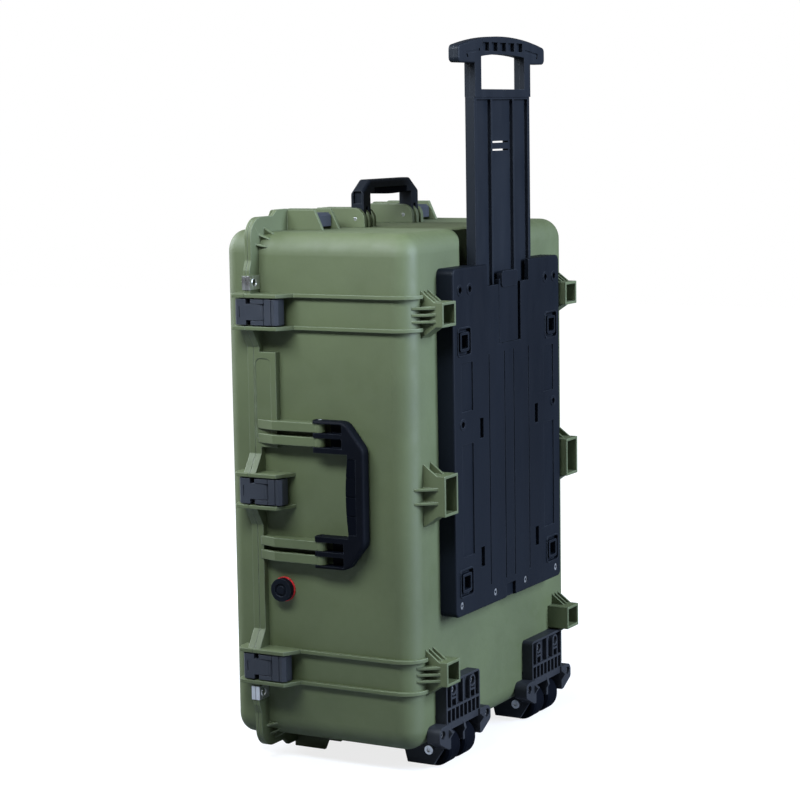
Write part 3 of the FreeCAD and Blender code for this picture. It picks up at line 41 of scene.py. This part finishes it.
# Camera: place, aim and focal length of the photograph, with angles in degrees
CAMERA_PLACE = Vector((1.5551, -2.8253, 0.8870))
CAMERA_YAW = 29.19
CAMERA_PITCH = -7.12
CAMERA_ROLL = 0.90
CAMERA_LENS = 101.03
CAMERA_SENSOR = 36.0

# Light and floor
FLOOR_SIZE = 14.0
FLOOR_COLOR = (0.20, 0.21, 0.23, 1.0)
FLOOR_TINT = (0.23, 0.24, 0.26, 1.0)
FLOOR_GLOW = 0.80
FLOOR_FADE = (0.3, 0.9)  # metres from the middle, over which the glow rises to 1
FLOOR_LEVEL = -0.0005
WORLD_COLOR = (1.0, 1.0, 1.0, 1.0)
WORLD_STRENGTH = 0.14
AREA_LIGHTS = (
    # name, place, aim, width, height, watts, colour
    ("overhead", (0.0, -0.3, 2.4), (0.0, 0.0, 0.6), 1.6, 1.6, 2.0, (0.92, 1.0, 1.10)),
    ("front_top", (-0.1, -1.15, 1.50), (0.0, -0.25, 0.78), 1.2, 0.4, 38.0, (0.90, 1.0, 1.12)),
    ("right", (3.0, 0.30, 1.7), (0.1, 0.0, 0.7), 1.2, 2.0, 215.0, (0.82, 0.97, 1.24)),
    ("left", (-2.2, -0.15, 1.6), (-0.1, -0.1, 0.7), 0.8, 1.8, 80.0, (0.93, 1.0, 1.08)),
)

# Small fittings
WELD_GAP = 0.01 * MM
SOCKET_DEPTH = 0.3 * MM
BRACKET_SOCKET_RADIUS = 1.9 * MM
TRAY_SOCKET_RADIUS = 2.2 * MM
EYELET_RADIUS = 5.6 * MM
EYELET_TUBE = 0.7 * MM
EYELET_SIDES = 32
EYELET_TUBE_SIDES = 10

# Finishes: noise scales in features a metre
DRIFT_SCALE = 7.0
SCUFF_SCALE = 60.0
BRUSH_SCALE = 420.0
BLOTCH_SCALE = 45.0
BRUSH_STRETCH = (1.0, 1.0, 0.08)
UPRIGHT_STREAK = (1.0, 1.0, 0.25)
BRUSH_DEPTH = 0.04 * MM
STEEL_EDGE_RADIUS = 0.5 * MM
STEEL_ROUGH = (0.24, 0.40)
BEVEL_SAMPLES = 8
EDGE_BEND = (0.80, 0.995)  # cosine of the bend where the edge lightening (wear and painted highlight) is full, and where it starts

# Colours, linear. The _EDGE colours lighten sharp edges: partly wear, partly a painted highlight.
SHELL_DARK = (0.053, 0.069, 0.024, 1.0)
SHELL_LIGHT = (0.067, 0.086, 0.032, 1.0)
SHELL_EDGE = (0.160, 0.190, 0.125, 1.0)
BLACK_DARK = (0.0022, 0.0037, 0.0068, 1.0)
BLACK_LIGHT = (0.0038, 0.0058, 0.0098, 1.0)
BLACK_EDGE = (0.045, 0.052, 0.064, 1.0)
MAST_DARK = (0.0042, 0.0062, 0.0100, 1.0)
MAST_LIGHT = (0.0066, 0.0093, 0.0140, 1.0)
BRACKET_DARK = (0.0125, 0.0140, 0.0175, 1.0)
BRACKET_LIGHT = (0.0180, 0.0200, 0.0245, 1.0)
# Latch plastic: its own dark grey, lightened further as painted light for the light falling on the latch
# tops
LATCH_DARK = (0.022, 0.025, 0.032, 1.0)
LATCH_LIGHT = (0.032, 0.036, 0.045, 1.0)
LATCH_EDGE = (0.055, 0.062, 0.075, 1.0)
# Rubber (grips, gasket, tyres, front handle): near-black rubber, darkened further as painted shade for the
# shaded grip insert and tyres
RUBBER_DARK = (0.0012, 0.0018, 0.0036, 1.0)
RUBBER_LIGHT = (0.0022, 0.0030, 0.0056, 1.0)
RUBBER_EDGE = (0.012, 0.015, 0.022, 1.0)
STEEL_DARK = (0.55, 0.55, 0.54, 1.0)
STEEL_LIGHT = (0.80, 0.80, 0.79, 1.0)
RED_DARK = (0.36, 0.010, 0.012, 1.0)
RED_LIGHT = (0.52, 0.018, 0.020, 1.0)
RED_EDGE = (0.62, 0.060, 0.060, 1.0)

# Tones of black plastic that differ from the tray's
TONES = {
    "trolley_mast": "mast_black",
    "pull_grip_front": "mast_black",
    "pull_grip_back": "mast_black",
    "wheel_bracket_near": "bracket_black",
    "wheel_bracket_far": "bracket_black",
    "front_handle_frame": "handle_black",
    "top_handle_frame": "mast_black",
}


# Node building

class Shader:
    """A material's node tree, with short calls to add and link nodes."""

    def __init__(self, name):
        self.material = bpy.data.materials.new(name)
        self.material.use_nodes = True
        self.tree = self.material.node_tree
        self.surface = self.tree.nodes["Principled BSDF"]
        self.place = self.add("ShaderNodeTexCoord").outputs["Object"]

    def add(self, kind):
        return self.tree.nodes.new(kind)

    def link(self, start, end):
        self.tree.links.new(start, end)

    def noise(self, scale, detail, stretch=(1.0, 1.0, 1.0)):
        """Noise over the object's own coordinates, with scale counted in features a metre."""
        mapping = self.add("ShaderNodeMapping")
        mapping.inputs["Scale"].default_value = stretch
        self.link(self.place, mapping.inputs["Vector"])
        texture = self.add("ShaderNodeTexNoise")
        texture.inputs["Scale"].default_value = scale
        texture.inputs["Detail"].default_value = detail
        self.link(mapping.outputs["Vector"], texture.inputs["Vector"])
        return texture.outputs["Fac"]

    def spread(self, value, low, high, to_low, to_high):
        node = self.add("ShaderNodeMapRange")
        for name, number in (("From Min", low), ("From Max", high), ("To Min", to_low), ("To Max", to_high)):
            node.inputs[name].default_value = number
        self.link(value, node.inputs["Value"])
        return node.outputs["Result"]

    def mixed(self, share, first, second):
        """Mix of two colours; each is a fixed colour or a socket."""
        node = self.add("ShaderNodeMix")
        node.data_type = "RGBA"
        self.link(share, node.inputs[0])
        for socket, colour in ((node.inputs[6], first), (node.inputs[7], second)):
            if isinstance(colour, tuple):
                socket.default_value = colour
            else:
                self.link(colour, socket)
        return node.outputs[2]

    def times(self, first, second):
        node = self.add("ShaderNodeMath")
        node.operation = "MULTIPLY"
        self.link(first, node.inputs[0])
        self.link(second, node.inputs[1])
        return node.outputs[0]

    def rounded(self, radius):
        """Normal with edges rounded at the given radius."""
        bevel = self.add("ShaderNodeBevel")
        bevel.samples = BEVEL_SAMPLES
        bevel.inputs["Radius"].default_value = radius
        return bevel.outputs["Normal"]

    def edge_mask(self, normal, low, high):
        """1 along sharp edges and 0 on flat faces."""
        dot = self.add("ShaderNodeVectorMath")
        dot.operation = "DOT_PRODUCT"
        self.link(normal, dot.inputs[0])
        self.link(self.add("ShaderNodeNewGeometry").outputs["Normal"], dot.inputs[1])
        return self.spread(dot.outputs["Value"], high, low, 0.0, 1.0)

    def bump(self, height, distance, strength, normal):
        node = self.add("ShaderNodeBump")
        node.inputs["Strength"].default_value = strength
        node.inputs["Distance"].default_value = distance
        self.link(height, node.inputs["Height"])
        self.link(normal, node.inputs["Normal"])
        return node.outputs["Normal"]


# Materials

def moulded(name, colours, grain, grain_depth, rough, edge_radius, specular, streak=(1.0, 1.0, 1.0)):
    """Moulded plastic or rubber: broad colour drift, fine grain, edges lightened by wear and a painted
    highlight, and uneven sheen.
    """
    dark, light, edge = colours
    shader = Shader(name)
    broad = shader.noise(DRIFT_SCALE, 4.0, streak)
    fine = shader.noise(1.0 / grain, 2.0)
    scuffs = shader.noise(SCUFF_SCALE, 5.0, streak)
    normal = shader.rounded(edge_radius)
    colour = shader.mixed(shader.spread(broad, 0.35, 0.65, 0.0, 1.0), dark, light)
    # Sharp edges lightened towards the edge colour in scuffed patches: partly wear, partly a painted
    # highlight
    edge_wear_and_highlight = shader.times(shader.edge_mask(normal, *EDGE_BEND), shader.spread(scuffs, 0.35, 0.65, 0.25, 0.8))
    shader.link(shader.mixed(edge_wear_and_highlight, colour, edge), shader.surface.inputs["Base Color"])
    shader.link(shader.spread(scuffs, 0.3, 0.7, rough[0], rough[1]), shader.surface.inputs["Roughness"])
    shader.link(shader.bump(fine, grain_depth, 0.6, normal), shader.surface.inputs["Normal"])
    shader.surface.inputs["Specular IOR Level"].default_value = specular
    return shader.material


def brushed_steel(name):
    shader = Shader(name)
    lines = shader.noise(BRUSH_SCALE, 3.0, BRUSH_STRETCH)
    blotch = shader.noise(BLOTCH_SCALE, 3.0)
    shader.surface.inputs["Metallic"].default_value = 1.0
    shader.link(shader.mixed(shader.spread(lines, 0.3, 0.7, 0.0, 1.0), STEEL_DARK, STEEL_LIGHT),
                shader.surface.inputs["Base Color"])
    shader.link(shader.spread(blotch, 0.3, 0.7, *STEEL_ROUGH), shader.surface.inputs["Roughness"])
    normal = shader.bump(lines, BRUSH_DEPTH, 0.5, shader.rounded(STEEL_EDGE_RADIUS))
    shader.link(normal, shader.surface.inputs["Normal"])
    return shader.material


def make_materials():
    black = (BLACK_DARK, BLACK_LIGHT, BLACK_EDGE)
    rubber = (RUBBER_DARK, RUBBER_LIGHT, RUBBER_EDGE)
    latch = (LATCH_DARK, LATCH_LIGHT, LATCH_EDGE)
    shell = (SHELL_DARK, SHELL_LIGHT, SHELL_EDGE)
    mast = (MAST_DARK, MAST_LIGHT, BLACK_EDGE)
    bracket = (BRACKET_DARK, BRACKET_LIGHT, BLACK_EDGE)
    handle = (RUBBER_DARK, RUBBER_LIGHT, BLACK_EDGE)
    red = (RED_DARK, RED_LIGHT, RED_EDGE)
    return {
        "shell_green": moulded("shell_green", shell, 1.1 * MM, 0.00016, (0.58, 0.72), 1.6 * MM, 0.65),
        "black_plastic": moulded("black_plastic", black, 0.9 * MM, 0.00010, (0.48, 0.62), 0.8 * MM, 0.12,
                                 UPRIGHT_STREAK),
        "mast_black": moulded("mast_black", mast, 0.9 * MM, 0.00010, (0.45, 0.60), 0.8 * MM, 0.16,
                              UPRIGHT_STREAK),
        "bracket_black": moulded("bracket_black", bracket, 0.8 * MM, 0.00010, (0.46, 0.60), 0.8 * MM, 0.22),
        "handle_black": moulded("handle_black", handle, 0.8 * MM, 0.00008, (0.50, 0.64), 0.9 * MM, 0.07),
        "latch_black": moulded("latch_black", latch, 0.8 * MM, 0.00008, (0.40, 0.54), 0.6 * MM, 0.28),
        "grip_rubber": moulded("grip_rubber", rubber, 0.7 * MM, 0.00012, (0.65, 0.80), 0.6 * MM, 0.03),
        "gasket": moulded("gasket", rubber, 0.7 * MM, 0.00006, (0.65, 0.80), 0.4 * MM, 0.3),
        "steel": brushed_steel("steel"),
        "valve_red": moulded("valve_red", red, 0.6 * MM, 0.00003, (0.22, 0.32), 0.4 * MM, 0.5),
        "wheel_tyre": moulded("wheel_tyre", rubber, 0.8 * MM, 0.00010, (0.60, 0.75), 0.8 * MM, 0.03),
        "wheel_hub": moulded("wheel_hub", black, 0.8 * MM, 0.00006, (0.50, 0.65), 0.5 * MM, 0.12),
    }


def dress_nodes(materials):
    """Every node takes the finish of its material slot in the record, or its own tone of it."""
    for subpart in frame["record"]["subparts"]:
        piece = nodes[subpart["node"]]
        piece.data.materials.clear()
        finish = TONES.get(subpart["node"], subpart["material_slot"])
        piece.data.materials.append(materials[finish])


# Small fittings

def solids_of(node):
    """Lowest and highest corner of each separate solid in a node, in the row frame."""
    work = bmesh.new()
    work.from_mesh(nodes[node].data)
    work.transform(nodes[node].matrix_world)
    bmesh.ops.remove_doubles(work, verts=work.verts, dist=WELD_GAP)
    left = set(work.verts)
    boxes = []
    while left:
        group = [left.pop()]
        for vert in group:
            near = [edge.other_vert(vert) for edge in vert.link_edges]
            group += [other for other in near if other in left]
            left.difference_update(near)
        low = Vector([min(vert.co[i] for vert in group) for i in range(3)])
        high = Vector([max(vert.co[i] for vert in group) for i in range(3)])
        boxes.append((low, high))
    work.free()
    return boxes


def fitting(name, body, material, work):
    """Makes an object of a bmesh that rides on a body and takes a slot's finish."""
    mesh = bpy.data.meshes.new(name)
    work.to_mesh(mesh)
    work.free()
    mesh.materials.append(material)
    piece = bpy.data.objects.new(name, mesh)
    bpy.context.scene.collection.objects.link(piece)
    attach(piece, body)


def drive_socket_shade(node, radius, material):
    """Dark six-sided disc in the head of every screw of a node: painted shade standing in for the hollow of
    the drive socket.
    """
    work = bmesh.new()
    for low, high in solids_of(node):
        middle = (low + high) / 2
        place = Matrix.Translation((high.x, middle.y, middle.z)) @ Matrix.Rotation(math.pi / 2, 4, "Y")
        bmesh.ops.create_cone(work, cap_ends=True, segments=6, radius1=radius, radius2=radius,
                              depth=SOCKET_DEPTH, matrix=place)
    fitting(node + "_drive_shade", "case_base", material, work)


def eyelet(work, centre):
    """Rolled rim round a hole along X."""
    rings = []
    for i in range(EYELET_SIDES):
        turn = 2 * math.pi * i / EYELET_SIDES
        ring = []
        for j in range(EYELET_TUBE_SIDES):
            roll = 2 * math.pi * j / EYELET_TUBE_SIDES
            reach = EYELET_RADIUS + EYELET_TUBE * math.cos(roll)
            offset = Vector((EYELET_TUBE * math.sin(roll), reach * math.cos(turn), reach * math.sin(turn)))
            ring.append(work.verts.new(centre + offset))
        rings.append(ring)
    for i in range(EYELET_SIDES):
        first, second = rings[i], rings[(i + 1) % EYELET_SIDES]
        for j in range(EYELET_TUBE_SIDES):
            k = (j + 1) % EYELET_TUBE_SIDES
            work.faces.new((first[j], first[k], second[k], second[j])).smooth = True


def padlock_eyelets(material):
    """Rims on the outer faces of the padlock plates, round the holes."""
    holes = [mount for mount in frame["record"]["mounts"] if mount["name"].startswith("padlock")]
    for node, body, side in (("padlock_plates_base", "case_base", 1), ("padlock_plates_lid", "lid", -1)):
        boxes = solids_of(node)
        face = max(high.x for low, high in boxes) if side > 0 else min(low.x for low, high in boxes)
        work = bmesh.new()
        for hole in holes:
            eyelet(work, Vector((face, hole["pos_m"][1], hole["pos_m"][2])))
        bmesh.ops.recalc_face_normals(work, faces=work.faces)
        fitting(node + "_rims", body, material, work)


# Stage

def make_floor():
    mesh = bpy.data.meshes.new("floor")
    half = FLOOR_SIZE / 2
    mesh.from_pydata([(-half, -half, FLOOR_LEVEL), (half, -half, FLOOR_LEVEL), (half, half, FLOOR_LEVEL),
                      (-half, half, FLOOR_LEVEL)], [], [(0, 1, 2, 3)])
    floor = bpy.data.objects.new("floor", mesh)
    bpy.context.scene.collection.objects.link(floor)
    shader = Shader("floor_paper")
    shade = shader.spread(shader.noise(3.0, 3.0), 0.3, 0.7, 0.0, 1.0)
    shader.link(shader.mixed(shade, FLOOR_COLOR, FLOOR_TINT), shader.surface.inputs["Base Color"])
    shader.surface.inputs["Roughness"].default_value = 0.9
    shader.surface.inputs["Specular IOR Level"].default_value = 0.0
    shader.surface.inputs["Emission Color"].default_value = WORLD_COLOR
    away = shader.add("ShaderNodeVectorMath")
    away.operation = "LENGTH"
    shader.link(shader.place, away.inputs[0])
    glow = shader.spread(away.outputs["Value"], *FLOOR_FADE, FLOOR_GLOW, 1.0)
    seen = shader.times(glow, shader.add("ShaderNodeLightPath").outputs["Is Camera Ray"])
    shader.link(seen, shader.surface.inputs["Emission Strength"])
    mesh.materials.append(shader.material)


def make_world():
    world = bpy.data.worlds.new("studio")
    world.use_nodes = True
    background = world.node_tree.nodes["Background"]
    background.inputs["Color"].default_value = WORLD_COLOR
    background.inputs["Strength"].default_value = WORLD_STRENGTH
    path = world.node_tree.nodes.new("ShaderNodeLightPath")
    bright = world.node_tree.nodes.new("ShaderNodeBackground")
    bright.inputs["Color"].default_value = WORLD_COLOR
    bright.inputs["Strength"].default_value = 1.0
    mix = world.node_tree.nodes.new("ShaderNodeMixShader")
    links = world.node_tree.links
    links.new(path.outputs["Is Camera Ray"], mix.inputs[0])
    links.new(background.outputs[0], mix.inputs[1])
    links.new(bright.outputs[0], mix.inputs[2])
    links.new(mix.outputs[0], world.node_tree.nodes["World Output"].inputs["Surface"])
    bpy.context.scene.world = world


def aimed(place, aim):
    direction = Vector(aim) - Vector(place)
    return direction.to_track_quat("-Z", "Y").to_matrix().to_4x4()


def make_lights():
    for name, place, aim, width, height, watts, colour in AREA_LIGHTS:
        light = bpy.data.lights.new(name, "AREA")
        light.shape = "RECTANGLE"
        light.size = width
        light.size_y = height
        light.energy = watts
        light.color = colour
        lamp = bpy.data.objects.new(name, light)
        lamp.visible_camera = False
        lamp.matrix_world = Matrix.Translation(Vector(place)) @ aimed(place, aim)
        bpy.context.scene.collection.objects.link(lamp)


def make_camera():
    yaw, pitch, roll = (math.radians(a) for a in (CAMERA_YAW, CAMERA_PITCH, CAMERA_ROLL))
    ahead = Vector((-math.sin(yaw) * math.cos(pitch), math.cos(yaw) * math.cos(pitch), math.sin(pitch)))
    level = Vector((math.cos(yaw), math.sin(yaw), 0.0))
    down = ahead.cross(level)
    right = math.cos(roll) * level + math.sin(roll) * down
    up = math.sin(roll) * level - math.cos(roll) * down
    turn = Matrix((right, up, -ahead)).transposed().to_4x4()
    data = bpy.data.cameras.new("photo_camera")
    data.lens = CAMERA_LENS
    data.sensor_width = CAMERA_SENSOR
    camera = bpy.data.objects.new("photo_camera", data)
    camera.matrix_world = Matrix.Translation(CAMERA_PLACE) @ turn
    bpy.context.scene.collection.objects.link(camera)
    bpy.context.scene.camera = camera


finishes = make_materials()
dress_nodes(finishes)
# Dark hex discs on the screw heads: painted shade of the drive sockets
drive_socket_shade("bracket_screws", BRACKET_SOCKET_RADIUS, finishes["black_plastic"])
drive_socket_shade("tray_screws", TRAY_SOCKET_RADIUS, finishes["black_plastic"])
padlock_eyelets(finishes["steel"])
make_floor()
make_world()
make_lights()
make_camera()
bpy.context.scene.view_settings.view_transform = "Standard"

bpy.context.view_layer.update()
